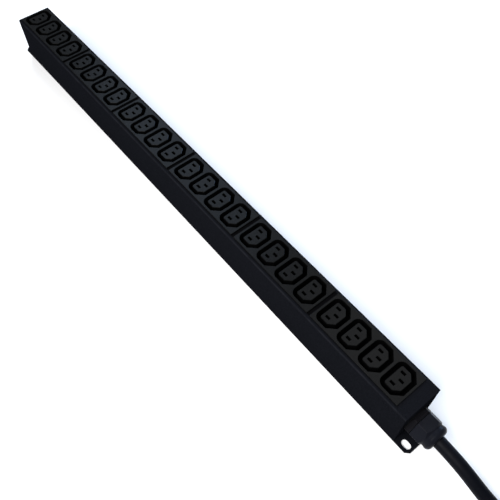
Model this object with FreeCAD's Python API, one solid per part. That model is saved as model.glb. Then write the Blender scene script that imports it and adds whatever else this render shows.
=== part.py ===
"""Vertical rack power strip: 24 appliance outlets in six snap-in modules, in a folded sheet housing.

It lies on its back plate: +X runs along the strip towards the supply cord, +Z is the way the outlets
face, and the origin is the centre of the back plate's underside. All lengths are in millimetres.
"""
import math
import os

import FreeCAD
import Part
from FreeCAD import Vector as V

os.makedirs("parts", exist_ok=True)

# ---------------------------------------------------------------- driving dimensions
OUTLET_PITCH = 27.5        # centre to centre inside a module
MODULE_PITCH = 115.8       # centre to centre of the modules
MODULES = 6
OUTLETS_PER_MODULE = 4
FAR_MARGIN = 18.2          # far end face to the first outlet's centre
NEAR_MARGIN = 28.5         # last outlet's centre to the near end face

SHEET = 1.5                # steel sheet of the housing
HOUSING_WIDTH = 44.4       # one rack unit
HOUSING_TOP = 58.6         # height of the housing's face over the back
BEND = 1.4                 # outer radius of the housing's folds
FLANGE = 8.0               # turned-in lip along the housing's open side

EAR = 17.8                 # how far the back plate passes each end face
EAR_CORNER = 4.0
SLOT_LENGTH, SLOT_WIDTH = 10.2, 7.0
SLOT_FROM_END = 9.8        # slot centre outside the end face
SLOT_Y = 15.4

BEZEL_HEIGHT = 2.4         # outlet modules stand this proud of the housing's face
BEZEL_WIDTH = 37.8
BEZEL_END = 14.7           # module's edge past its end outlet's centre
SHADOW_GAP, SHADOW_DEPTH = 1.5, 1.0    # groove round the bezel, on the housing's face
BODY_WIDTH = 35.2
BODY_END = 13.3            # module body's end past its end outlet's centre
CUTOUT_GAP = 0.2           # housing cut-out round a module body
WELL_DEPTH = 17.0          # outlet top to the well's floor
WELL_X, WELL_Y = 12.35, 16.43          # half size of the well round each outlet
WELL_CHAMFER, WELL_ROUND = 8.0, 7.0
CORE_X, CORE_Y = 7.8, 11.92            # half size of the core in the well
CORE_CHAMFER, CORE_ROUND = 5.35, 2.0
PIN_Y = 7.0                # line and neutral slots, each side of the centre
PIN_LINE_X, PIN_EARTH_X = -2.2, 1.8    # slot rows, 4 mm apart along the strip
PIN_SLOT_X, PIN_SLOT_Y = 5.4, 2.8
SLOT_MOUTH = 2.0           # depth of the narrow mouth over each contact chamber
CHAMBER_X, CHAMBER_Y = 6.2, 4.4

CARRIER_FLOOR = 3.0        # thickness of the floor that carries the cores
TRAY_DEPTH, TRAY_WALL = 6.6, 1.6       # rear cover that holds the bars
BAR_WIDTH, BAR_THICK = 4.6, 1.0
BAR_Z = 39.5               # underside of the three bars
LEAF_X, LEAF_THICK, LEAF_GAP = 4.2, 0.5, 1.8
LEAF_TOP = 53.0

GLAND_Z = 25.5             # gland axis over the back
GLAND_THREAD = 22.5        # thread diameter, size PG16
GLAND_FLATS = 27.0
CORD_DIAMETER = 13.2

# ---------------------------------------------------------------- derived places
FIRST = -0.5 * (FAR_MARGIN + NEAR_MARGIN + (MODULES - 1) * MODULE_PITCH
                + (OUTLETS_PER_MODULE - 1) * OUTLET_PITCH)
END_X = -FIRST                         # near end face, and minus the far one
FIRST_OUTLET_X = -END_X + FAR_MARGIN
MODULE_SPAN = (OUTLETS_PER_MODULE - 1) * OUTLET_PITCH
TOP_Z = HOUSING_TOP + BEZEL_HEIGHT
WELL_FLOOR = TOP_Z - WELL_DEPTH
SHELL_BOTTOM = WELL_FLOOR - CARRIER_FLOOR
TRAY_BOTTOM = SHELL_BOTTOM - TRAY_DEPTH
PLATE_END = END_X + EAR
SLOT_X = END_X + SLOT_FROM_END
UP, ALONG, ACROSS = V(0, 0, 1), V(1, 0, 0), V(0, 1, 0)


def save(name, shape):
    """Write one node, and say if its solid isn't sound."""
    if not shape.isValid():
        print("NOT VALID", name)
    shape.exportStep(f"parts/{name}.step")
    print(f"{name:24s} {len(shape.Solids)} solid(s) {shape.Volume / 1000:9.3f} cm3")


def box(x0, x1, y0, y1, z0, z1):
    return Part.makeBox(x1 - x0, y1 - y0, z1 - z0, V(x0, y0, z0))


def centred(x, y, length, width, z0, z1):
    return box(x - length / 2, x + length / 2, y - width / 2, y + width / 2, z0, z1)


def rod(radius, start, end):
    """Round bar from one point to another."""
    return Part.makeCylinder(radius, (end - start).Length, start, end - start)


def slot(x, y, length, width, z0, z1):
    """Round-ended bar along X, standing from z0 to z1."""
    half, r = length / 2 - width / 2, width / 2
    bar = box(x - half, x + half, y - r, y + r, z0, z1)
    for end in (x - half, x + half):
        bar = bar.fuse(rod(r, V(end, y, z0), V(end, y, z1)))
    return bar.removeSplitter()


def hexagon(flats, x0, x1, y, z, turn=0.0):
    """Hexagonal bar along X. turn tips its corners round the axis, in degrees."""
    r = flats / math.sqrt(3)
    angles = [math.radians(60 * k + turn) for k in range(7)]
    corners = [V(x0, y + r * math.sin(a), z + r * math.cos(a)) for a in angles]
    return Part.Face(Part.makePolygon(corners)).extrude(V(x1 - x0, 0, 0))


def soften_corners(bar, radius):
    """Rounds a hexagonal bar's long edges."""
    return bar.makeFillet(radius, [e for e in bar.Edges if abs(e.tangentAt(0).x) > 0.9])


def turned(profile, y, z):
    """Solid of revolution about the X line through (y, z). profile is a list of (x, radius)."""
    points = [V(x, y, z + r) for x, r in profile]
    return Part.Face(Part.makePolygon(points + points[:1])).revolve(V(0, y, z), ALONG, 360)


def outlet_outline(half_x, half_y, chamfer, rounding, z):
    """D-like outline: rounded corners on the far side, chamfered ones on the near side."""
    c = rounding * (1 - math.sqrt(0.5))
    far, near, side = -half_x, half_x, half_y
    lines = [
        (V(far + rounding, side, z), V(near - chamfer, side, z)),
        (V(near - chamfer, side, z), V(near, side - chamfer, z)),
        (V(near, side - chamfer, z), V(near, -side + chamfer, z)),
        (V(near, -side + chamfer, z), V(near - chamfer, -side, z)),
        (V(near - chamfer, -side, z), V(far + rounding, -side, z)),
        (V(far, -side + rounding, z), V(far, side - rounding, z)),
    ]
    arcs = [
        (V(far + rounding, -side, z), V(far + c, -side + c, z), V(far, -side + rounding, z)),
        (V(far, side - rounding, z), V(far + c, side - c, z), V(far + rounding, side, z)),
    ]
    edges = [Part.LineSegment(a, b).toShape() for a, b in lines]
    edges += [Part.Arc(a, b, c3).toShape() for a, b, c3 in arcs]
    return Part.Wire(Part.__sortEdges__(edges))


def outlet_block(x, half_x, half_y, chamfer, rounding, z0, z1):
    wire = outlet_outline(half_x, half_y, chamfer, rounding, z0)
    block = Part.Face(wire).extrude(V(0, 0, z1 - z0))
    block.translate(V(x, 0, 0))
    return block


def outlet_xs(module):
    start = FIRST_OUTLET_X + module * MODULE_PITCH
    return [start + k * OUTLET_PITCH for k in range(OUTLETS_PER_MODULE)]


# ---------------------------------------------------------------- routed cords and leads
def tube(points, diameter, name=None):
    """Round tube on straight runs joined by tangent arcs, each as large as its two runs allow."""
    points = [V(*p) for p in points]
    edges, last, radii = [], points[0], []
    for before, corner, after in zip(points, points[1:], points[2:]):
        a, b = before - corner, after - corner
        run = 0.45 * min(a.Length, b.Length)
        a.normalize()
        b.normalize()
        half = b.getAngle(a) / 2
        radius = run * math.tan(half)
        middle = a + b
        middle.normalize()
        centre = corner + middle * (run / math.cos(half))
        start, end = corner + a * run, corner + b * run
        edges.append(Part.LineSegment(last, start).toShape())
        edges.append(Part.Arc(start, centre - middle * radius, end).toShape())
        radii.append(radius)
        last = end
    edges.append(Part.LineSegment(last, points[-1]).toShape())
    path = Part.Wire(edges)
    circle = Part.makeCircle(diameter / 2, points[0], points[1] - points[0])
    solid = path.makePipeShell([Part.Wire(circle)], True, False, 0)
    wanted = math.pi * diameter ** 2 / 4 * path.Length
    if name:
        print(name, "bend radii", [round(r) for r in radii])
        print(f"{name}: length {path.Length:.1f}, least radius {min(radii):.1f}, "
              f"volume over section x length {solid.Volume / wanted:.4f}")
    return solid


# ---------------------------------------------------------------- housing
def housing_cover():
    """U-shaped cover with turned-in lips, six cut-outs and four latch slots near its ends."""
    half = HOUSING_WIDTH / 2
    cover = box(-END_X, END_X, -half, half, SHEET, HOUSING_TOP)
    folds = [e for e in cover.Edges if e.Length > END_X and e.CenterOfMass.z > HOUSING_TOP - 1]
    cover = cover.makeFillet(BEND, folds)
    inner = box(-END_X - 1, END_X + 1, -half + SHEET, half - SHEET, 2 * SHEET, HOUSING_TOP - SHEET)
    gap = box(-END_X - 1, END_X + 1, -half + FLANGE, half - FLANGE, 0, 3 * SHEET)
    cover = cover.cut(inner).cut(gap)
    for module in range(MODULES):
        xs = outlet_xs(module)
        cover = cover.cut(box(xs[0] - BODY_END - CUTOUT_GAP, xs[-1] + BODY_END + CUTOUT_GAP,
                              -BODY_WIDTH / 2 - CUTOUT_GAP, BODY_WIDTH / 2 + CUTOUT_GAP,
                              HOUSING_TOP - 2 * SHEET, HOUSING_TOP + 1))
    for x in (-LATCH_X, LATCH_X):
        cover = cover.cut(centred(x, 0, LATCH_LENGTH, HOUSING_WIDTH + 2,
                                  LATCH_Z - LATCH_HEIGHT / 2, LATCH_Z + LATCH_HEIGHT / 2))
    for x, y in cover_screw_places():
        cover = cover.cut(rod(SCREW_D / 2, V(x, y, 0), V(x, y, 3 * SHEET)))
    return cover


LATCH_X = END_X - 19.9     # latch slot centre in the side walls
LATCH_Z, LATCH_LENGTH, LATCH_HEIGHT = 51.9, 4.6, 2.0
SCREW_D = 3.0
SCREW_ROWS = 5


def cover_screw_places():
    """Screws that hold the back plate to the cover's lips."""
    reach = END_X - 30
    xs = [-reach + 2 * reach * k / (SCREW_ROWS - 1) for k in range(SCREW_ROWS)]
    return [(x, side * (HOUSING_WIDTH / 2 - FLANGE / 2 - 1)) for x in xs for side in (-1, 1)]


def countersunk(x, y, radius, head, z0, z1):
    """Countersunk shape with its flat head at z0, its shank reaching z1."""
    cone = Part.makeCone(head, radius, head - radius, V(x, y, z0), UP)
    return cone.fuse(rod(radius, V(x, y, z0), V(x, y, z1))).removeSplitter()


def back_plate():
    """Flat plate that closes the cover and passes its ends as two slotted ears."""
    half, c = HOUSING_WIDTH / 2, EAR_CORNER
    corners = [V(sx * (PLATE_END - dx), sy * (half - dy), 0)
               for sx, sy, first in ((1, 1, 0), (-1, 1, 1), (-1, -1, 0), (1, -1, 1))
               for dx, dy in ([(0, c), (c, 0)] if first == 0 else [(c, 0), (0, c)])]
    plate = Part.Face(Part.makePolygon(corners + corners[:1])).extrude(V(0, 0, SHEET))
    for x in (-SLOT_X, SLOT_X):
        for y in (-SLOT_Y, SLOT_Y):
            plate = plate.cut(slot(x, y, SLOT_LENGTH, SLOT_WIDTH, -1, SHEET + 1))
    for x, y in cover_screw_places():
        plate = plate.cut(countersunk(x, y, SCREW_D / 2, SCREW_D - 0.2, 0, SHEET + 1))
    return plate.cut(rod(EARTH_STUD_D / 2, V(EARTH_STUD_X, 0, -1), V(EARTH_STUD_X, 0, SHEET + 1)))


def cover_screws():
    screws = [countersunk(x, y, SCREW_D / 2, SCREW_D - 0.2, 0, 2 * SHEET + 2)
              for x, y in cover_screw_places()]
    return Part.makeCompound(screws)


def end_plate(side, gland):
    """Sheet end closing the cover. Its two side flanges lie inside the walls and latch in the slots."""
    half = HOUSING_WIDTH / 2 - SHEET
    low, high = SHEET, HOUSING_TOP - SHEET
    face = END_X
    back = face - SHEET
    plate = box(back, face, -half, half, 2 * SHEET, high)
    plate = plate.fuse(box(back, face, -half + FLANGE, half - FLANGE, low, 2 * SHEET))
    reach = LATCH_X - LATCH_LENGTH
    for y0, y1 in ((-half, -half + 1), (half - 1, half)):
        plate = plate.fuse(box(reach, back, y0, y1, LATCH_Z - 4, LATCH_Z + 3))
    for y0, y1 in ((-half - SHEET + 0.2, -half), (half, half + SHEET - 0.2)):
        plate = plate.fuse(centred(LATCH_X, (y0 + y1) / 2, LATCH_LENGTH - 0.6, y1 - y0,
                                   LATCH_Z - LATCH_HEIGHT / 2 + 0.1, LATCH_Z + LATCH_HEIGHT / 2 - 0.7))
    if gland:
        plate = plate.cut(rod(GLAND_THREAD / 2 + 0.1, V(back - 1, 0, GLAND_Z), V(face + 1, 0, GLAND_Z)))
    if side < 0:
        plate = plate.mirror(V(0, 0, 0), ALONG)
    return plate.removeSplitter()


# ---------------------------------------------------------------- outlet modules
def outlet_shell(module):
    """Front moulding: bezel, four wells open at the back, a seat for the carrier, and snap hooks."""
    xs = outlet_xs(module)
    x0, x1 = xs[0], xs[-1]
    half = BODY_WIDTH / 2
    bezel = box(x0 - BEZEL_END, x1 + BEZEL_END, -BEZEL_WIDTH / 2, BEZEL_WIDTH / 2, HOUSING_TOP, TOP_Z)
    rim = [e for e in bezel.Edges if abs(e.CenterOfMass.z - TOP_Z) < 0.01]
    shell = bezel.makeFillet(0.4, rim)
    inset_x, inset_y = BEZEL_END - SHADOW_DEPTH, BEZEL_WIDTH / 2 - SHADOW_DEPTH
    shell = shell.cut(box(x0 - BEZEL_END - 1, x1 + BEZEL_END + 1, -BEZEL_WIDTH, BEZEL_WIDTH,
                          HOUSING_TOP - 1, HOUSING_TOP + SHADOW_GAP))
    shell = shell.fuse(box(x0 - inset_x, x1 + inset_x, -inset_y, inset_y,
                           HOUSING_TOP, HOUSING_TOP + SHADOW_GAP))
    shell = shell.fuse(box(x0 - BODY_END, x1 + BODY_END, -half, half, SHELL_BOTTOM, HOUSING_TOP))
    for x in xs:
        shell = shell.cut(outlet_block(x, WELL_X, WELL_Y, WELL_CHAMFER, WELL_ROUND,
                                       SHELL_BOTTOM, TOP_Z + 1))
    shell = shell.cut(box(x0 - WELL_X, x1 + WELL_X, -WELL_Y, WELL_Y, SHELL_BOTTOM - 1, WELL_FLOOR))
    for x in (x0, x1):
        for side in (-1, 1):
            shell = shell.fuse(snap_hook(x, side))
    return shell.removeSplitter()


def snap_hook(x, side):
    """Wedge that grips the underside of the housing's face."""
    y0, y1 = side * BODY_WIDTH / 2, side * (BODY_WIDTH / 2 + 1.3)
    top, low = HOUSING_TOP - SHEET, HOUSING_TOP - SHEET - 6
    points = [V(x - 4, y0, low), V(x - 4, y1, top), V(x - 4, y0, top)]
    return Part.Face(Part.makePolygon(points + points[:1])).extrude(V(8, 0, 0))


BAR_YS = {"line": -PIN_Y, "earth": 0.0, "neutral": PIN_Y}


def contact_places(module):
    return [(x + dx, y) for x in outlet_xs(module)
            for dx, y in ((PIN_LINE_X, -PIN_Y), (PIN_LINE_X, PIN_Y), (PIN_EARTH_X, 0))]


def contact_carrier(module):
    """Floor of the four wells, pierced for the contacts. The cores stand on it."""
    xs = outlet_xs(module)
    carrier = box(xs[0] - WELL_X, xs[-1] + WELL_X, -WELL_Y, WELL_Y, SHELL_BOTTOM, WELL_FLOOR)
    for x, y in contact_places(module):
        carrier = carrier.cut(centred(x, y, CHAMBER_X, CHAMBER_Y, SHELL_BOTTOM - 1, WELL_FLOOR + 1))
    return carrier


def outlet_cores(module):
    """The module's four cores, each with three contact chambers under narrow mouths."""
    cores = []
    for x in outlet_xs(module):
        core = outlet_block(x, CORE_X, CORE_Y, CORE_CHAMFER, CORE_ROUND, WELL_FLOOR, TOP_Z)
        rim = [e for e in core.Edges if e.BoundBox.ZMin > TOP_Z - 0.01]
        core = core.makeChamfer(0.35, rim)
        for px, py in contact_places(module):
            core = core.cut(centred(px, py, PIN_SLOT_X, PIN_SLOT_Y, WELL_FLOOR, TOP_Z + 1))
            core = core.cut(centred(px, py, CHAMBER_X, CHAMBER_Y, WELL_FLOOR - 1, TOP_Z - SLOT_MOUTH))
        cores.append(core)
    return Part.makeCompound(cores)


def rear_cover(module):
    """Tray on the back of a module, slotted for the bars and with two ribs that keep them apart."""
    xs = outlet_xs(module)
    half = BODY_WIDTH / 2
    x0, x1 = xs[0] - BODY_END, xs[-1] + BODY_END
    floor = TRAY_BOTTOM + TRAY_WALL
    cover = box(x0, x1, -half, half, TRAY_BOTTOM, SHELL_BOTTOM)
    cover = cover.cut(box(x0 + TRAY_WALL, x1 - TRAY_WALL, -half + TRAY_WALL, half - TRAY_WALL,
                          floor, SHELL_BOTTOM + 1))
    for y in (-PIN_Y / 2, PIN_Y / 2):
        cover = cover.fuse(box(x0 + TRAY_WALL, x1 - TRAY_WALL, y - 0.6, y + 0.6, floor, SHELL_BOTTOM))
    for y in BAR_YS.values():
        cover = cover.cut(box(x0 - 1, x1 + 1, y - BAR_WIDTH / 2 - 0.3, y + BAR_WIDTH / 2 + 0.3,
                              BAR_Z - 0.3, SHELL_BOTTOM + 1))
    if module == MODULES - 1:
        for name, y in BAR_YS.items():
            cover = cover.cut(centred(TAB_XS[name], y, TAB_WIDTH + 0.8, 1.8, TRAY_BOTTOM - 1, floor + 1))
    return cover.removeSplitter()


# ---------------------------------------------------------------- bars, leads and earth
TAB_WIDTH, TAB_THICK, TAB_LENGTH = 6.3, 0.8, 9.0
TAB_XS = {"line": 262.0, "earth": 276.0, "neutral": 290.0}
TAB_LOW = TRAY_BOTTOM - TAB_LENGTH
BOOT_X, BOOT_Y, BOOT_LENGTH = 9.0, 5.0, 16.0
BOOT_TOP = TRAY_BOTTOM - 0.6
LEAD_DIAMETER = 3.4
SHEATH_END_X = 318.0
EARTH_STUD_X, EARTH_STUD_D = 225.0, 5.0


def bar(name):
    """One of the three bars through all the modules, with a pair of contact leaves at each outlet."""
    y = BAR_YS[name]
    dx = PIN_EARTH_X if name == "earth" else PIN_LINE_X
    start = outlet_xs(0)[0] - 10
    end = outlet_xs(MODULES - 1)[-1] + 10
    strip = box(start, end, y - BAR_WIDTH / 2, y + BAR_WIDTH / 2, BAR_Z, BAR_Z + BAR_THICK)
    leaves = []
    for module in range(MODULES):
        for x in outlet_xs(module):
            for side in (-1, 1):
                middle = y + side * (LEAF_GAP + LEAF_THICK) / 2
                leaves.append(centred(x + dx, middle, LEAF_X, LEAF_THICK, BAR_Z, LEAF_TOP))
    tab = centred(TAB_XS[name], y, TAB_WIDTH, TAB_THICK, TAB_LOW, BAR_Z + BAR_THICK)
    return strip.multiFuse(leaves + [tab]).removeSplitter()


def lead_boots():
    """Insulated push-on connectors on the three bar tabs."""
    boots = []
    for name, y in BAR_YS.items():
        boot = centred(TAB_XS[name], y, BOOT_X, BOOT_Y, BOOT_TOP - BOOT_LENGTH, BOOT_TOP)
        pocket = centred(TAB_XS[name], y, TAB_WIDTH, TAB_THICK, TAB_LOW, BOOT_TOP + 1)
        upright = [e for e in boot.Edges if abs(e.tangentAt(0).z) > 0.9]
        boots.append(boot.makeFillet(1.2, upright).cut(pocket))
    return Part.makeCompound(boots)


def lead(name):
    """One core of the supply cord, from the end of its sheath to its boot."""
    x, y = TAB_XS[name], BAR_YS[name]
    start_y = 0.27 * y
    start_z = GLAND_Z + (-1.1 if name != "earth" else 2.2)
    bottom = BOOT_TOP - BOOT_LENGTH
    if name == "earth":
        turn = [(SHEATH_END_X - 14, 0.2, 20.0), (x + 14, 0.3, 7.5), (x + 2, 0.2, 6.2)]
    else:
        turn = [(SHEATH_END_X - 10, y * 0.7, 21.0), (x + 12, y * 1.05, 8.0), (x + 1, y, 6.0)]
    route = [(SHEATH_END_X, start_y, start_z), *turn, (x, y, bottom)]
    return tube(route, LEAD_DIAMETER)


def earth_stud():
    """Welded stud that bonds the housing to earth."""
    return rod(EARTH_STUD_D / 2, V(EARTH_STUD_X, 0, 0), V(EARTH_STUD_X, 0, 16))


def earth_nut():
    nut = hexagon(8.0, 0, 4.0, 0, 0)
    nut.rotate(V(0, 0, 0), ACROSS, -90)
    nut.translate(V(EARTH_STUD_X, 0, SHEET + 1.0))
    return nut.cut(rod(EARTH_STUD_D / 2, V(EARTH_STUD_X, 0, 0), V(EARTH_STUD_X, 0, 20)))


def earth_bond():
    """Ring terminal under the nut, with the short lead that joins it to the earth boot."""
    ring = rod(5.0, V(EARTH_STUD_X, 0, SHEET), V(EARTH_STUD_X, 0, SHEET + 1.0))
    ring = ring.fuse(box(EARTH_STUD_X, EARTH_STUD_X + 12, -2.2, 2.2, SHEET, SHEET + 1.0))
    ring = ring.cut(rod(EARTH_STUD_D / 2, V(EARTH_STUD_X, 0, 0), V(EARTH_STUD_X, 0, 20)))
    start = EARTH_STUD_X + 9
    route = [(start, 0, SHEET + 2.2), (start + 16, -0.4, 3.9), (start + 28, -0.2, 12.0),
             (TAB_XS["earth"] - BOOT_X / 2, 0, 22.0)]
    return ring.fuse(tube(route, LEAD_DIAMETER - 0.8))


# ---------------------------------------------------------------- cable gland
COLLAR = 5.9               # hexagonal collar of the gland body, outside the end face
GLAND_GAP = 0.5            # between the collar and the cap nut
NUT_LENGTH = 21.2
NUT_STRAIGHT = 13.2        # prism part of the cap nut, before its domed end
DOME_R, DOME_REACH = 13.4, 4.6
RIM_R = 8.6                # flat rim round the cord at the dome's end
NUT_TURN = 30.0            # a flat of the hexagon lies on top
NUT_X0 = END_X + COLLAR + GLAND_GAP
NUT_X1 = NUT_X0 + NUT_LENGTH
BORE_THREAD = 20.0         # outer thread of the body under the cap nut
CORD_HOLE = CORD_DIAMETER / 2 + 0.5


def gland_body():
    """Threaded body through the end plate, with its collar outside and a clamping spigot in the nut."""
    inner_end = END_X - SHEET - 9.0
    body = soften_corners(hexagon(GLAND_FLATS, END_X + 1.0, END_X + COLLAR, 0, GLAND_Z, NUT_TURN), 2.0)
    body = body.common(turned([(END_X + 1.0, 0), (END_X + 1.0, 14.6), (END_X + 2.2, 15.5),
                               (END_X + COLLAR - 0.6, 15.5), (END_X + COLLAR, 15.0),
                               (END_X + COLLAR, 0)], 0, GLAND_Z))
    body = body.fuse(rod(GLAND_THREAD / 2, V(inner_end, 0, GLAND_Z), V(END_X + 2, 0, GLAND_Z)))
    body = body.fuse(rod(BORE_THREAD / 2, V(END_X + 2, 0, GLAND_Z), V(NUT_X0 + 9, 0, GLAND_Z)))
    return body.cut(rod(7.4, V(inner_end - 1, 0, GLAND_Z), V(NUT_X0 + 10, 0, GLAND_Z))).removeSplitter()


def gland_washer():
    """Flat sealing ring between the collar and the end plate."""
    ring = rod(14.2, V(END_X, 0, GLAND_Z), V(END_X + 1.0, 0, GLAND_Z))
    return ring.cut(rod(GLAND_THREAD / 2, V(END_X - 1, 0, GLAND_Z), V(END_X + 2, 0, GLAND_Z)))


def gland_locknut():
    x1 = END_X - SHEET
    nut = hexagon(GLAND_FLATS, x1 - 4.5, x1, 0, GLAND_Z, NUT_TURN)
    return nut.cut(rod(GLAND_THREAD / 2, V(x1 - 6, 0, GLAND_Z), V(x1 + 1, 0, GLAND_Z)))


def gland_claw():
    """Slotted ring of fingers that the cap nut presses on the seal."""
    x0, x1 = NUT_X0 + 9, NUT_X1 - 4.6
    ring = turned([(x0, 8.6), (x0, 10.0), (x0 + 4, 10.0), (x1, 8.8), (x1, 8.6)], 0, GLAND_Z)
    for k in range(4):
        cut = centred(0, 0, 2 * (x1 + 1), 1.2, -12, 12)
        cut.rotate(V(0, 0, 0), ALONG, 45 * k)
        cut.translate(V(0, 0, GLAND_Z))
        ring = ring.cut(cut.common(box(x0 + 2, x1 + 1, -13, 13, GLAND_Z - 13, GLAND_Z + 13)))
    return ring


def gland_seal():
    """Rubber sleeve round the cord inside the claw."""
    x0, x1 = NUT_X0 + 9, NUT_X1 - 3.6
    return turned([(x0, CORD_DIAMETER / 2), (x0, 8.6), (x1, 8.6), (x1, CORD_DIAMETER / 2)], 0, GLAND_Z)


def gland_cap_nut():
    """Hexagonal cap nut with a groove before its domed end. It turns on the body, clear of it all round."""
    prism = soften_corners(hexagon(GLAND_FLATS, NUT_X0, NUT_X1, 0, GLAND_Z, NUT_TURN), 1.2)
    bevel, shoulder = NUT_X0 + 0.5, NUT_X0 + NUT_STRAIGHT
    outside = [(NUT_X0, 0), (NUT_X0, 15.1), (bevel, 15.6), (shoulder - 2.8, 15.6), (shoulder, 13.0),
               (shoulder + 0.5, 12.8)]
    for k in range(9):
        angle = math.radians(90 * k / 8)
        outside.append((NUT_X1 - DOME_REACH * (1 - math.sin(angle)),
                        RIM_R + (DOME_R - RIM_R) * math.cos(angle)))
    nut = prism.common(turned(outside + [(NUT_X1, 0)], 0, GLAND_Z))
    seat = NUT_X1 - 3.0
    inside = [(NUT_X0 - 1, 0), (NUT_X0 - 1, 10.3), (seat - 5.5, 10.3), (seat, 9.2),
              (seat, CORD_HOLE + 0.3), (NUT_X1 - 0.8, CORD_HOLE), (NUT_X1 + 1, CORD_HOLE + 1.0),
              (NUT_X1 + 1, 0)]
    return nut.cut(turned(inside, 0, GLAND_Z))


# ---------------------------------------------------------------- supply cord and plug
# The cord leaves the gland, comes down to the surface, and is put away in a tied hank that lies in
# line with the strip. The plug lies inside the hank's loop.
CORD_START_X = NUT_X1
HANK_LIFT = 1.0            # the tie passes under the turns
LOW_Z = CORD_DIAMETER / 2 + HANK_LIFT
TURN_STEP = CORD_DIAMETER + 0.1
HIGH_Z = LOW_Z + TURN_STEP * math.sqrt(0.75)
HANK_X0, HANK_RUN = 517.0, 166.0
HANK_X1 = HANK_X0 + HANK_RUN
HANK_Y = -38.2
INNER_R = 3.02 * CORD_DIAMETER         # inner turn of the loop
OUTER_R = INNER_R + TURN_STEP
UPPER_R = INNER_R + TURN_STEP / 2      # the turn that lies on the other two
PLUG_Z = 13.5
PLUG_BACK_X = 579.0        # where the cord enters the plug's strain relief

FREE_ROUTE = [
    (CORD_START_X, 0, GLAND_Z), (399.5, -0.4, 25.3), (418, -0.6, 21.3), (437, -0.7, 14.5), (456, 0.5, 9.7),
    (473, 4.7, 7.4), (489, 10.3, 7.1), (503, 13.9, 7.4), (HANK_X0, HANK_Y + OUTER_R, LOW_Z),
]
TAIL_ROUTE = [
    (HANK_X1, HANK_Y - UPPER_R, HIGH_Z), (665, HANK_Y - 44.3, 20.6), (647, HANK_Y - 37.7, 21.4),
    (629, HANK_Y - 27.0, 20.6), (612, HANK_Y - 15.1, 18.2), (595.5, HANK_Y - 5.5, 15.4),
    (PLUG_BACK_X, HANK_Y - 0.4, PLUG_Z),
]


def supply_cord():
    return tube(FREE_ROUTE, CORD_DIAMETER, "supply_cord")


def supply_cord_tail():
    return tube(TAIL_ROUTE, CORD_DIAMETER, "supply_cord_tail")


def round_hull(centres, radius):
    """Face in the YZ plane at X = 0: the tight outline round equal circles, centres anticlockwise."""
    sides = []
    for (y0, z0), (y1, z1) in zip(centres, centres[1:] + centres[:1]):
        way = V(0, y1 - y0, z1 - z0)
        way.normalize()
        sides.append((V(0, y0, z0), V(0, y1, z1), way, V(0, way.z, -way.y) * radius))
    edges = []
    for (start, end, way, out), (_, _, next_way, next_out) in zip(sides, sides[1:] + sides[:1]):
        tip = way - next_way
        tip.normalize()
        edges.append(Part.LineSegment(start + out, end + out).toShape())
        edges.append(Part.Arc(end + out, end + tip * radius, end + next_out).toShape())
    return Part.Face(Part.Wire(edges))


def bundle(side, upper=True):
    """Centres of the turns of the hank on one side of its loop, as (y, z)."""
    centres = [(HANK_Y + side * INNER_R, LOW_Z), (HANK_Y + side * OUTER_R, LOW_Z)]
    if upper:
        centres.append((HANK_Y + side * UPPER_R, HIGH_Z))
    return centres


def supply_cord_hank():
    """Outer shape of the put-away turns: two runs and two half rings."""
    radius = CORD_DIAMETER / 2
    upper_run = round_hull(bundle(1), radius)
    lower_run = round_hull(bundle(-1, upper=False), radius)
    shape = upper_run.extrude(V(HANK_RUN, 0, 0))
    shape = shape.fuse(lower_run.extrude(V(HANK_RUN, 0, 0)))
    far = upper_run.copy()
    far.translate(V(HANK_RUN, 0, 0))
    shape = shape.fuse(far.revolve(V(HANK_RUN, HANK_Y, 0), UP, -180))
    step = TURN_STEP / 2
    near = round_hull([(HANK_Y - OUTER_R + step, LOW_Z), (HANK_Y - INNER_R + 0.2, LOW_Z)], radius)
    shape = shape.fuse(near.revolve(V(0, HANK_Y, 0), UP, -180))
    ridge = Part.makeTorus(UPPER_R - 1.5, radius, V(0, HANK_Y + 1.5, HIGH_Z), UP, -180, 180, 180)
    ridge.rotate(V(0, HANK_Y + 1.5, 0), UP, 90)
    shape = shape.fuse(ridge)
    shape.translate(V(HANK_X0, 0, 0))
    return shape.removeSplitter()


def cord_ties():
    """Two hook-and-loop bands, one round each run of the hank."""
    ties = []
    for side, x in ((1, HANK_X0 + 95), (-1, HANK_X0 + 60)):
        centres = bundle(side, upper=side > 0)
        band = round_hull(centres, CORD_DIAMETER / 2 + 1.0).extrude(V(12, 0, 0))
        band = band.cut(round_hull(centres, CORD_DIAMETER / 2 + 0.05).extrude(V(12, 0, 0)))
        band.translate(V(x, 0, 0))
        ties.append(band)
    return Part.makeCompound(ties)


PLUG_WIDTH, PLUG_HEIGHT, PLUG_BODY = 35.0, 27.0, 44.0
RELIEF_LENGTH = 26.0
SHROUD_WIDTH, SHROUD_HEIGHT, SHROUD_LENGTH, SHROUD_WALL = 31.0, 23.0, 17.5, 1.9
BLADE_WIDTH, BLADE_THICK, BLADE_LENGTH = 8.0, 2.0, 16.0
PLUG_X1 = PLUG_BACK_X - RELIEF_LENGTH
PLUG_X0 = PLUG_X1 - PLUG_BODY


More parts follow.
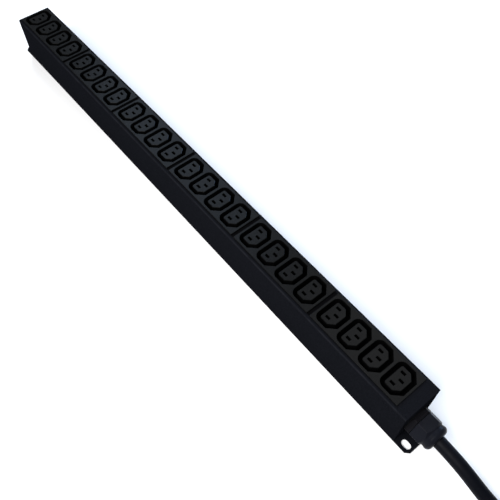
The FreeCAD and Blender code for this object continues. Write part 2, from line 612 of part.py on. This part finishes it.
def plug_body():
    """Moulded rewireable-size plug body with the open shroud round its blades."""
    half_y, half_z = PLUG_WIDTH / 2, PLUG_HEIGHT / 2
    body = box(PLUG_X0, PLUG_X1, HANK_Y - half_y, HANK_Y + half_y, PLUG_Z - half_z, PLUG_Z + half_z)
    body = body.makeFillet(4.0, [e for e in body.Edges if abs(e.tangentAt(0).x) > 0.9])
    rear = [e for e in body.Edges if e.BoundBox.XMin > PLUG_X1 - 0.01]
    body = body.makeFillet(3.0, rear)
    front = PLUG_X0 - SHROUD_LENGTH

    def ring(width, height, x0, x1, rounding):
        block = box(x0, x1, HANK_Y - width / 2, HANK_Y + width / 2, PLUG_Z - height / 2, PLUG_Z + height / 2)
        return block.makeFillet(rounding, [e for e in block.Edges if abs(e.tangentAt(0).x) > 0.9])

    body = body.fuse(ring(SHROUD_WIDTH, SHROUD_HEIGHT, front, PLUG_X0 + 1, 3.0))
    inner_w, inner_h = SHROUD_WIDTH - 2 * SHROUD_WALL, SHROUD_HEIGHT - 2 * SHROUD_WALL
    body = body.cut(ring(inner_w, inner_h, front - 1, PLUG_X0 - 0.5, 1.4))
    return body.removeSplitter()


def plug_blades():
    """Line, neutral and earth blades, standing in the shroud."""
    x1 = PLUG_X0 - 0.5
    blades = []
    for y, z in ((HANK_Y - 6.5, PLUG_Z - 4), (HANK_Y + 6.5, PLUG_Z - 4), (HANK_Y, PLUG_Z + 4)):
        blade = box(x1 - BLADE_LENGTH, x1, y - BLADE_WIDTH / 2, y + BLADE_WIDTH / 2,
                    z - BLADE_THICK / 2, z + BLADE_THICK / 2)
        tip = [e for e in blade.Edges if e.BoundBox.XMax < x1 - BLADE_LENGTH + 0.01]
        blades.append(blade.makeChamfer(0.5, tip))
    return Part.makeCompound(blades)


def plug_strain_relief():
    """Tapered rubber sleeve with ring grooves at the back of the plug."""
    profile = [(PLUG_X1, 0), (PLUG_X1, 9.6)]
    for k in range(4):
        x = PLUG_X1 + 3 + k * 5.4
        r = 9.4 - 0.55 * k
        profile += [(x, r), (x + 0.3, r - 0.9), (x + 1.7, r - 1.0), (x + 2.0, r - 0.2)]
    profile += [(PLUG_BACK_X, 7.2), (PLUG_BACK_X, 0)]
    return turned(profile, HANK_Y, PLUG_Z)


def cord_inner_end():
    """The cord's sheath inside the gland and the housing."""
    return rod(CORD_DIAMETER / 2, V(SHEATH_END_X, 0, GLAND_Z), V(CORD_START_X, 0, GLAND_Z))


# ---------------------------------------------------------------- the nodes
save("housing_cover", housing_cover())
save("back_plate", back_plate())
save("cover_screws", cover_screws())
save("near_end_plate", end_plate(1, gland=True))
save("far_end_plate", end_plate(-1, gland=False))
for number in range(MODULES):
    save(f"outlet_shell_{number + 1}", outlet_shell(number))
    save(f"contact_carrier_{number + 1}", contact_carrier(number))
    save(f"outlet_cores_{number + 1}", outlet_cores(number))
    save(f"rear_cover_{number + 1}", rear_cover(number))
for pole in BAR_YS:
    save(f"{pole}_bar", bar(pole))
    save(f"{pole}_lead", lead(pole))
save("lead_boots", lead_boots())
save("earth_stud", earth_stud())
save("earth_nut", earth_nut())
save("earth_bond_lead", earth_bond())
save("gland_body", gland_body())
save("gland_washer", gland_washer())
save("gland_locknut", gland_locknut())
save("gland_claw", gland_claw())
save("gland_seal", gland_seal())
save("gland_cap_nut", gland_cap_nut())
save("cord_inner_end", cord_inner_end())
save("supply_cord", supply_cord())
save("supply_cord_hank", supply_cord_hank())
save("supply_cord_tail", supply_cord_tail())
save("cord_ties", cord_ties())
save("plug_body", plug_body())
save("plug_blades", plug_blades())
save("plug_strain_relief", plug_strain_relief())
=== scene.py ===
"""Rack power strip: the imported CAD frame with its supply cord, fittings, finishes, studio and camera."""
import math

import bmesh
import bpy
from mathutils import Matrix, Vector


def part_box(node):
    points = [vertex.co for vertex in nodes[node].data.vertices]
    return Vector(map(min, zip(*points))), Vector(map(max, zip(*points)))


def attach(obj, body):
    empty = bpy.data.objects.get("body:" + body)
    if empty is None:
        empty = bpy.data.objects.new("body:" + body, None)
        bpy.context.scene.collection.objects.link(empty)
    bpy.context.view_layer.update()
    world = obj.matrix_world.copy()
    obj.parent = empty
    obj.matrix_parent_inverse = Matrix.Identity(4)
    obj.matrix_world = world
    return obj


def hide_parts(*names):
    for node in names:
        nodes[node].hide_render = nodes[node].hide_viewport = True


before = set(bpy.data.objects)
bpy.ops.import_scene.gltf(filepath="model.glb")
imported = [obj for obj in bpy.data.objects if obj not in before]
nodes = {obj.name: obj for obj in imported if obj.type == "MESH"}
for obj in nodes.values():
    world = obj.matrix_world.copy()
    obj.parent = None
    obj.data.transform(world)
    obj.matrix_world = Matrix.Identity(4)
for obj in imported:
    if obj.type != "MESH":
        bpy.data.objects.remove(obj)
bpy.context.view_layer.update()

# ---------------------------------------------------------------- camera
CAMERA_AT = (0.400501, -0.222184, 0.569718)
CAMERA_TURN = (33.39343, 0.66337, 51.01922)        # degrees about X, Y and Z
LENS, SENSOR = 43.677, 36.0                        # millimetres
CLIP_START = 0.01


def make_camera():
    data = bpy.data.cameras.new("camera")
    data.lens = LENS
    data.sensor_width = SENSOR
    data.clip_start = CLIP_START
    camera = bpy.data.objects.new("camera", data)
    camera.location = CAMERA_AT
    camera.rotation_euler = [math.radians(a) for a in CAMERA_TURN]
    bpy.context.collection.objects.link(camera)
    bpy.context.scene.camera = camera


make_camera()

# ---------------------------------------------------------------- materials
FOLD_Y, FOLD_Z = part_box("housing_cover")[1][1:]            # corner line of the housing's long folds
ROW_X, ROW_Y, MODULE_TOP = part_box("outlet_shell_6")[1]     # corner of the row of outlet modules
# Each pair is a distance in from the fold or down from the face: the effect starts at the first value
# and is full at the second.
# The first pair places the painted highlight along the housing's long folds.
FOLD_HIGHLIGHT_START, FOLD_HIGHLIGHT_FULL = 0.0016, 0.0006
# The second pair places the painted shade in the gaps between the outlet modules, down from the face.
GAP_START, GAP_FULL = 0.0005, 0.0003
# The third pair bounds the satin face; below it the moulding is dull and carries painted shade.
SATIN_START, SATIN_FULL = 0.0011, 0.0005
ROW_BLUR = 0.0003                      # the painted shade in the gaps fades out over this at the row's edges
FACE_ROUGHNESS, WALL_ROUGHNESS = 0.26, 0.85
NOISE_LOW, NOISE_HIGH = 0.35, 0.65     # most of a noise texture's values lie between these


class Finish:
    """A Principled material and the node tree round it."""

    def __init__(self, name, color, roughness, specular=0.5, metallic=0.0):
        self.material = bpy.data.materials.new(name)
        self.material.use_nodes = True
        self.material.diffuse_color = (*color, 1)
        self.tree = self.material.node_tree
        self.shader = self.tree.nodes["Principled BSDF"]
        self.set("Base Color", (*color, 1))
        self.set("Roughness", roughness)
        self.set("Specular IOR Level", specular)
        self.set("Metallic", metallic)
        self.color = color
        self.roughness = roughness
        self.place = self.node("ShaderNodeTexCoord").outputs["Object"]
        self.normal = None

    def node(self, kind, **settings):
        node = self.tree.nodes.new(kind)
        for key, value in settings.items():
            setattr(node, key, value)
        return node

    def set(self, socket, value):
        self.shader.inputs[socket].default_value = value

    def link(self, a, b):
        self.tree.links.new(a, b)

    def axes(self):
        """The X, Y and Z coordinates, in metres."""
        split = self.node("ShaderNodeSeparateXYZ")
        self.link(self.place, split.inputs["Vector"])
        return [split.outputs[axis] for axis in "XYZ"]

    def calc(self, operation, *values):
        node = self.node("ShaderNodeMath", operation=operation)
        for value, socket in zip(values, node.inputs):
            self.link(value, socket)
        return node.outputs["Value"]

    def noise(self, size, detail=3.0, stretch=(1, 1, 1)):
        """Noise whose features are about size metres across."""
        mapping = self.node("ShaderNodeMapping")
        mapping.inputs["Scale"].default_value = [s / size for s in stretch]
        self.link(self.place, mapping.inputs["Vector"])
        noise = self.node("ShaderNodeTexNoise")
        noise.inputs["Scale"].default_value = 1.0
        noise.inputs["Detail"].default_value = detail
        self.link(mapping.outputs["Vector"], noise.inputs["Vector"])
        return noise.outputs["Fac"]

    def spread(self, value, low, high, start=NOISE_LOW, end=NOISE_HIGH):
        """value mapped from start..end to low..high."""
        span = self.node("ShaderNodeMapRange")
        for socket, number in (("From Min", start), ("From Max", end), ("To Min", low), ("To Max", high)):
            span.inputs[socket].default_value = number
        self.link(value, span.inputs["Value"])
        return span.outputs["Result"]

    def past(self, value, start, end):
        """0 where value is under start, 1 where it is over end."""
        return self.spread(value, 0.0, 1.0, start, end)

    def mix(self, factor, first, second):
        """first where factor is 0, second where it is 1. Each is a colour or a socket."""
        mix = self.node("ShaderNodeMixRGB")
        self.link(factor, mix.inputs["Fac"])
        for value, socket in ((first, mix.inputs["Color1"]), (second, mix.inputs["Color2"])):
            if isinstance(value, tuple):
                socket.default_value = (*value, 1)
            else:
                self.link(value, socket)
        return mix.outputs["Color"]

    def paint(self, color):
        self.link(color, self.shader.inputs["Base Color"])

    def mottle(self, value, low, high):
        """The base colour varies between low and high times itself."""
        ramp = self.node("ShaderNodeValToRGB")
        for stop, place, factor in zip(ramp.color_ramp.elements, (NOISE_LOW, NOISE_HIGH), (low, high)):
            stop.position = place
            stop.color = (*[c * factor for c in self.color], 1)
        self.link(value, ramp.inputs["Fac"])
        self.paint(ramp.outputs["Color"])
        return ramp.outputs["Color"]

    def vary_roughness(self, value, change):
        span = self.spread(value, self.roughness - change, self.roughness + change)
        self.link(span, self.shader.inputs["Roughness"])

    def bump(self, value, height):
        """Relief of the given height in metres, on top of any before it."""
        bump = self.node("ShaderNodeBump")
        bump.inputs["Strength"].default_value = 1.0
        bump.inputs["Distance"].default_value = height
        self.link(value, bump.inputs["Height"])
        if self.normal:
            self.link(self.normal, bump.inputs["Normal"])
        self.normal = bump.outputs["Normal"]
        self.link(self.normal, self.shader.inputs["Normal"])


def powder_coat():
    """Fine-textured black powder coat.

    It has a painted highlight, a lighter colour, along the housing's two long folds, and painted shade, a
    dark colour, in the narrow gaps between the outlet modules.
    """
    # Colours of the painted highlight on the folds and of the painted shade in the gaps between the
    # modules.
    paler, darker = (0.0098, 0.0105, 0.0130), (0.0022, 0.0022, 0.0025)
    finish = Finish("powder_coat", (0.0048, 0.0052, 0.0068), 0.6, specular=0.0)
    grain = finish.mottle(finish.noise(0.0009, 4), 0.74, 1.3)
    finish.bump(finish.noise(0.0013, 3), 0.00012)
    finish.bump(finish.noise(0.0004, 2), 0.00003)
    finish.vary_roughness(finish.noise(0.012, 3), 0.05)
    x, y, height = finish.axes()
    along, across = finish.calc("ABSOLUTE", x), finish.calc("ABSOLUTE", y)
    up_fold = finish.past(height, FOLD_Z - FOLD_HIGHLIGHT_START, FOLD_Z - FOLD_HIGHLIGHT_FULL)
    out_fold = finish.past(across, FOLD_Y - FOLD_HIGHLIGHT_START, FOLD_Y - FOLD_HIGHLIGHT_FULL)
    on_fold = finish.calc("MULTIPLY", up_fold, out_fold)
    # Painted highlight: a lighter coat along the long folds, broken up by noise.
    fold_highlight = finish.calc("MULTIPLY", on_fold, finish.spread(finish.noise(0.009, 4), 0.25, 1.0))
    # Painted shade: a nearly black coat in the gaps between the outlet modules, at the face only.
    in_gap = finish.past(height, FOLD_Z - GAP_START, FOLD_Z - GAP_FULL)
    for value, edge in ((along, ROW_X), (across, ROW_Y)):
        in_gap = finish.calc("MULTIPLY", in_gap, finish.spread(value, 1.0, 0.0, edge - ROW_BLUR, edge))
    # Painted highlight on the folds and painted shade in the gaps, laid over the grain.
    finish.paint(finish.mix(in_gap, finish.mix(fold_highlight, grain, paler), darker))
    return finish.material


def outlet_moulding():
    """Satin faces round the outlets; below them dull, with painted shade on the sides, in the wells and
    slots.
    """
    finish = Finish("module_plastic", (0.0051, 0.0053, 0.0055), FACE_ROUGHNESS, specular=0.03)
    face = finish.mottle(finish.noise(0.03, 4), 0.93, 1.07)
    finish.bump(finish.noise(0.0006, 3), 0.000016)
    height = finish.axes()[2]
    on_face = finish.past(height, MODULE_TOP - SATIN_START, MODULE_TOP - SATIN_FULL)
    # Painted shade: everything below the face, the bezels' sides, wells and slots, is nearly black.
    finish.paint(finish.mix(on_face, (0.0008, 0.0008, 0.0009), face))
    roughness = finish.spread(on_face, WALL_ROUGHNESS, FACE_ROUGHNESS, 0.0, 1.0)
    finish.link(roughness, finish.shader.inputs["Roughness"])
    return finish.material


def moulding(name, color, roughness, specular, grain=0.0006):
    """Moulded plastic: barely uneven in colour, with a fine grain."""
    finish = Finish(name, color, roughness, specular=specular)
    finish.mottle(finish.noise(0.03, 4), 0.93, 1.07)
    finish.bump(finish.noise(grain, 3), 0.000016)
    finish.vary_roughness(finish.noise(0.006, 4), 0.06)
    return finish.material


def sheath(name, color, roughness, specular):
    """Extruded jacket: fine grain and faint long waves."""
    finish = Finish(name, color, roughness, specular=specular)
    finish.mottle(finish.noise(0.004, 4), 0.9, 1.1)
    finish.bump(finish.noise(0.0009, 4), 0.00003)
    finish.bump(finish.noise(0.007, 2), 0.00008)
    finish.vary_roughness(finish.noise(0.01, 3), 0.06)
    return finish.material


def rolled_metal(name, color, roughness, stretch=(0.05, 1, 1)):
    """Metal with fine marks, drawn out along the axes whose stretch is small."""
    finish = Finish(name, color, roughness, metallic=1.0)
    finish.mottle(finish.noise(0.005, 4), 0.9, 1.08)
    finish.bump(finish.noise(0.0002, 2, stretch), 0.000004)
    finish.vary_roughness(finish.noise(0.002, 4, stretch), 0.08)
    return finish.material


def earth_insulation():
    """Green with a yellow stripe along it, on the +Y side."""
    green, yellow = (0.03, 0.22, 0.04), (0.62, 0.5, 0.02)
    finish = Finish("earth_insulation", green, 0.42)
    stripe = finish.past(finish.axes()[1], 0.0, 0.0004)
    ramp = finish.node("ShaderNodeValToRGB")
    ramp.color_ramp.interpolation = "CONSTANT"
    ramp.color_ramp.elements[0].color = (*green, 1)
    ramp.color_ramp.elements[1].color = (*yellow, 1)
    ramp.color_ramp.elements[1].position = 0.5
    finish.link(stripe, ramp.inputs["Fac"])
    finish.paint(ramp.outputs["Color"])
    finish.bump(finish.noise(0.0008, 3), 0.00001)
    return finish.material


def woven_band():
    """Hook-and-loop band: a fuzzy pile over a fine weave."""
    finish = Finish("woven_band", (0.006, 0.006, 0.0068), 0.85, specular=0.1)
    finish.set("Sheen Weight", 0.06)
    finish.set("Sheen Roughness", 0.5)
    finish.mottle(finish.noise(0.0008, 5), 0.5, 1.8)
    finish.bump(finish.noise(0.0006, 4), 0.00025)
    return finish.material


COAT = powder_coat()
MODULE = outlet_moulding()
NYLON = moulding("gland_nylon", (0.0057, 0.0063, 0.0092), 0.34, 0.025, grain=0.0004)
# A darker copy of the gland nylon: painted shade for the collar, which lies in the housing's shade.
SHADED_COLLAR_NYLON = moulding("collar_nylon_painted_shade", (0.0044, 0.0043, 0.0056), 0.4, 0.02, grain=0.0004)
PLUG = moulding("plug_plastic", (0.0045, 0.0046, 0.0054), 0.42, 0.1, grain=0.0005)
BOOT = moulding("boot_nylon", (0.62, 0.61, 0.56), 0.35, 0.5)
SHEATH = sheath("cord_sheath", (0.0015, 0.0019, 0.0035), 0.46, 0.048)
RUBBER = sheath("seal_rubber", (0.003, 0.003, 0.0032), 0.7, 0.03)
BRASS = rolled_metal("contact_brass", (0.55, 0.4, 0.18), 0.3)
PLATED = rolled_metal("blade_plating", (0.6, 0.58, 0.52), 0.26)
ZINC = rolled_metal("zinc_plating", (0.45, 0.46, 0.48), 0.34, (1, 1, 1))
BROWN = sheath("line_insulation", (0.09, 0.03, 0.012), 0.42, 0.4)
BLUE = sheath("neutral_insulation", (0.012, 0.06, 0.3), 0.42, 0.4)
EARTH = earth_insulation()
BAND = woven_band()

MODULES = range(1, 7)
WORN_BY = [
    (COAT, ["housing_cover", "back_plate", "near_end_plate", "far_end_plate"]),
    (MODULE, [f"{part}_{k}" for part in ("outlet_shell", "contact_carrier", "outlet_cores", "rear_cover")
              for k in MODULES]),
    (NYLON, ["gland_locknut", "gland_claw", "gland_cap_nut"]),
    (SHADED_COLLAR_NYLON, ["gland_body"]),
    (RUBBER, ["gland_washer", "gland_seal"]),
    (SHEATH, ["cord_inner_end", "plug_strain_relief"]),
    (PLUG, ["plug_body"]),
    (PLATED, ["plug_blades"]),
    (BRASS, ["line_bar", "neutral_bar", "earth_bar"]),
    (ZINC, ["cover_screws", "earth_stud", "earth_nut"]),
    (BROWN, ["line_lead"]),
    (BLUE, ["neutral_lead"]),
    (EARTH, ["earth_lead", "earth_bond_lead"]),
    (BOOT, ["lead_boots"]),
    (BAND, ["cord_ties"]),
]


def dress_nodes():
    for material, names in WORN_BY:
        for name in names:
            for place in nodes[name].material_slots:
                place.material = material


dress_nodes()

# ---------------------------------------------------------------- supply cord
# One cord of 1.8 m: out of the gland, down to the surface, and into a hank in line with the strip.
CORD_DIAMETER = 0.0132
CORD_EXIT = (0.3817, 0, 0.0255)        # centre of the gland's mouth
HANK_LIFT = 0.001                      # the ties pass under the turns
LOW_Z = CORD_DIAMETER / 2 + HANK_LIFT
TURN_STEP = CORD_DIAMETER + 0.0001     # from one turn's centre line to the next one's
HIGH_Z = LOW_Z + TURN_STEP * math.sqrt(0.75)
HANK_X0, HANK_RUN = 0.517, 0.166       # centre of the fold nearest the strip, and from it to the other
HANK_X1 = HANK_X0 + HANK_RUN
HANK_Y = -0.0382                       # the hank's middle
INNER_R = 3.02 * CORD_DIAMETER         # inner turn of the hank
OUTER_R = INNER_R + TURN_STEP
UPPER_R = INNER_R + TURN_STEP / 2      # the turn that lies on the other two
RING_POINTS = 8                        # points of one fold
RING_STEP = math.pi / RING_POINTS
RUN_BOW = 0.0009                       # the straights stand out this much at their middle
ROUND_STEPS, LENGTH_STEPS = 7, 6       # how finely the curve is divided round and along

# From the gland down to the surface and over to the hank.
FREE_ROUTE = [
    CORD_EXIT, (0.3995, -0.0004, 0.0253), (0.418, -0.0006, 0.0213), (0.437, -0.0007, 0.0145),
    (0.456, 0.0005, 0.0097), (0.473, 0.0047, 0.0074), (0.489, 0.0103, 0.0071), (0.503, 0.0139, 0.0074),
]
# From the upper turn, over the lowest ones and down to the plug.
TAIL_ROUTE = [
    (0.665, HANK_Y - 0.0443, 0.0206), (0.647, HANK_Y - 0.0377, 0.0214), (0.629, HANK_Y - 0.0270, 0.0206),
    (0.612, HANK_Y - 0.0151, 0.0182), (0.5955, HANK_Y - 0.0055, 0.0154), (0.579, HANK_Y - 0.0004, 0.0136),
    (0.572, HANK_Y, 0.0135),
]
# Heights over the lowest turns, as the cord starts to rise and then climbs over them along a whole fold.
RISE = 0.0022
CLIMB = (0.0055, 0.0093, 0.0120, 0.0133, 0.0136, 0.0134, 0.0127, 0.0118)


def fold(x, y, radius, start, climb=(0,) * RING_POINTS, z=LOW_Z):
    """Half a turn of the hank, clockwise from the start angle, round (x, y)."""
    reach = radius / math.cos(RING_STEP / 2)
    points = []
    for k, rise in enumerate(climb):
        angle = start - RING_STEP * (k + 0.5)
        points.append((x + reach * math.cos(angle), y + reach * math.sin(angle), z + rise))
    return points


def run(side, offset, radius, z=LOW_Z, z_end=None):
    """One straight of the hank. side is 1 for the +Y side, which goes towards +X."""
    first, last = (HANK_X0, HANK_X1) if side > 0 else (HANK_X1, HANK_X0)
    lead = side * radius * math.tan(RING_STEP / 2)
    y = HANK_Y + side * offset
    z_end = z if z_end is None else z_end
    return [(first + lead, y, z), ((first + last) / 2, y + side * RUN_BOW, z), (last - lead, y, z_end)]


def cord_route():
    """The cord's control points.

    A near fold joins straights of different turns, so its centre stands off the hank's middle.
    """
    far, near = math.pi / 2, -math.pi / 2
    across = (INNER_R - OUTER_R) / 2
    back = (UPPER_R - INNER_R) / 2
    return [
        *FREE_ROUTE,
        *run(1, OUTER_R, OUTER_R), *fold(HANK_X1, HANK_Y, OUTER_R, far),
        *run(-1, OUTER_R, OUTER_R), *fold(HANK_X0, HANK_Y + across, UPPER_R, near),
        *run(1, INNER_R, INNER_R), *fold(HANK_X1, HANK_Y, INNER_R, far),
        *run(-1, INNER_R, INNER_R, z_end=LOW_Z + RISE),
        *fold(HANK_X0, HANK_Y + back, INNER_R + back, near, CLIMB),
        *run(1, UPPER_R, UPPER_R, HIGH_Z), *fold(HANK_X1, HANK_Y, UPPER_R, far, z=HIGH_Z),
        *TAIL_ROUTE,
    ]


def round_curve(name, points, diameter, material):
    """Round cord on a smooth curve with the given control points."""
    data = bpy.data.curves.new(name, "CURVE")
    data.dimensions = "3D"
    data.bevel_depth = diameter / 2
    data.bevel_resolution = ROUND_STEPS
    data.resolution_u = LENGTH_STEPS
    data.use_fill_caps = True
    spline = data.splines.new("NURBS")
    spline.points.add(len(points) - 1)
    for point, place in zip(spline.points, points):
        point.co = (*place, 1)
    spline.order_u = 3
    spline.use_endpoint_u = True
    data.materials.append(material)
    curve = bpy.data.objects.new(name, data)
    bpy.context.collection.objects.link(curve)
    return curve


# ---------------------------------------------------------------- small pieces on the cord
SHARP_ANGLE = math.radians(40)
RIBS, RIB_STEP = 6, 0.0027
RIB_SIZE = (0.0014, 0.0014, 0.0150)    # half of the Y size is sunk in the plug's side
RIB_ROUND = 0.0005
RIB_FROM_BACK = 0.0062                 # from the plug's back to the middle of the first rib

TIE_WIDTH, TIE_THICK = 0.012, 0.0010
TIE_SINK = 0.0002                      # the loose end starts this deep in the band under it
TIE_FREE = 0.005                       # length of the loose end past its last bend
TIE_LIFT = ((0.5, 0.04), (1.0, 0.16))  # parts of TIE_FREE: along the end, and up off the band
TIE_STEPS = 14                         # facets round its bend
FAR_TIE_X, NEAR_TIE_X = HANK_X0 + 0.095, HANK_X0 + 0.060       # the bands' edges nearest the strip


def mesh_piece(name, mesh, material):
    """A piece from a finished bmesh, smooth but for its sharp edges, on the strip."""
    data = bpy.data.meshes.new(name)
    mesh.to_mesh(data)
    mesh.free()
    data.materials.append(material)
    data.shade_smooth()
    data.set_sharp_from_angle(angle=SHARP_ANGLE)
    piece = bpy.data.objects.new(name, data)
    bpy.context.collection.objects.link(piece)
    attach(piece, "strip")
    return piece


def plug_grip():
    """Rounded finger ribs on both sides of the plug, near its back."""
    low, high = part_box("plug_body")
    mesh = bmesh.new()
    for y in (low[1], high[1]):
        for k in range(RIBS):
            rib = bmesh.ops.create_cube(mesh, size=1.0)["verts"]
            bmesh.ops.scale(mesh, vec=RIB_SIZE, verts=rib)
            place = (high[0] - RIB_FROM_BACK - k * RIB_STEP, y, (low[2] + high[2]) / 2)
            bmesh.ops.translate(mesh, vec=place, verts=rib)
    bmesh.ops.bevel(mesh, geom=mesh.edges[:], offset=RIB_ROUND, segments=3, affect="EDGES")
    return mesh_piece("plug_grip", mesh, PLUG)


def tie_tail(name, x, centre, start, end):
    """Loose end of a tie.

    It follows the band round a turn, whose centre is (Y, Z), from one angle in degrees to another, counted
    from +Y towards +Z, and then lifts off.
    """
    inner = CORD_DIAMETER / 2 + TIE_THICK - TIE_SINK
    way = 1 if end > start else -1
    under, over = [], []
    for k in range(TIE_STEPS + 1):
        angle = math.radians(start + (end - start) * k / TIE_STEPS)
        out = Vector((math.cos(angle), math.sin(angle)))
        under.append(Vector(centre) + out * inner)
        over.append(Vector(centre) + out * (inner + TIE_THICK))
    along = Vector((-out.y, out.x)) * way
    for reach, lift in TIE_LIFT:
        offset = along * TIE_FREE * reach + out * TIE_FREE * lift
        under.append(under[TIE_STEPS] + offset)
        over.append(over[TIE_STEPS] + offset)
    mesh = bmesh.new()
    outline = under + over[::-1]
    face = mesh.faces.new([mesh.verts.new((x, p.x, p.y)) for p in outline])
    swept = bmesh.ops.extrude_face_region(mesh, geom=[face])["geom"]
    moved = [v for v in swept if isinstance(v, bmesh.types.BMVert)]
    bmesh.ops.translate(mesh, vec=(TIE_WIDTH, 0, 0), verts=moved)
    bmesh.ops.recalc_face_normals(mesh, faces=mesh.faces[:])
    return mesh_piece(name, mesh, BAND)


grip = plug_grip()
tails = [
    tie_tail("tie_tail_far", FAR_TIE_X, (HANK_Y + UPPER_R, HIGH_Z), start=140, end=30),
    tie_tail("tie_tail_near", NEAR_TIE_X, (HANK_Y - OUTER_R, LOW_Z), start=80, end=160),
]
cord = round_curve("supply_cord_full", cord_route(), CORD_DIAMETER, SHEATH)
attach(cord, "strip")
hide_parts("supply_cord", "supply_cord_hank", "supply_cord_tail")

# ---------------------------------------------------------------- floor and light
FLOOR_SIZE, FLOOR_AT = 8, (0.2, 0, 0)
WORLD_COLOR, WORLD_STRENGTH = (0.97, 0.98, 1.0, 1), 0.45
LIGHTS = [
    # name, place, aim, (width, height), watts, colour
    ("softbox", (-1.45, 0.80, 1.9), (-0.06, 0, 0), (0.8, 1.2), 27, (0.62, 0.78, 1.0)),
    ("key", (0.27, -0.82, 0.98), (0.20, 0, 0), (0.7, 0.85), 22, (0.99, 0.98, 0.97)),
    ("top", (-0.05, 0.86, 1.95), (0.25, 0, 0), (0.8, 0.8), 7.5, (1.0, 0.97, 0.93)),
    ("rim", (0.10, 1.0, 0.22), (0.38, 0, 0.03), (0.45, 0.25), 7.0, (0.42, 0.62, 1.0)),
    ("over", (0.62, -0.42, 1.9), (0.44, 0, 0), (0.4, 0.4), 5.0, (0.90, 0.94, 1.0)),
]


def make_floor():
    bpy.ops.mesh.primitive_plane_add(size=FLOOR_SIZE, location=FLOOR_AT)
    floor = bpy.context.object
    floor.name = "floor"
    finish = Finish("floor_paper", (0.88, 0.88, 0.88), 0.9, specular=0.1)
    floor.data.materials.append(finish.material)


def area_light(name, place, aim, size, power, color):
    data = bpy.data.lights.new(name, "AREA")
    data.shape = "RECTANGLE"
    data.size, data.size_y = size
    data.energy = power
    data.color = color
    light = bpy.data.objects.new(name, data)
    light.location = place
    light.rotation_euler = (Vector(aim) - Vector(place)).to_track_quat("-Z", "Y").to_euler()
    bpy.context.collection.objects.link(light)


def make_world():
    world = bpy.data.worlds.new("studio")
    world.use_nodes = True
    background = world.node_tree.nodes["Background"]
    background.inputs["Color"].default_value = WORLD_COLOR
    background.inputs["Strength"].default_value = WORLD_STRENGTH
    bpy.context.scene.world = world


make_floor()
make_world()
for light in LIGHTS:
    area_light(*light)
bpy.context.scene.view_settings.view_transform = "Standard"
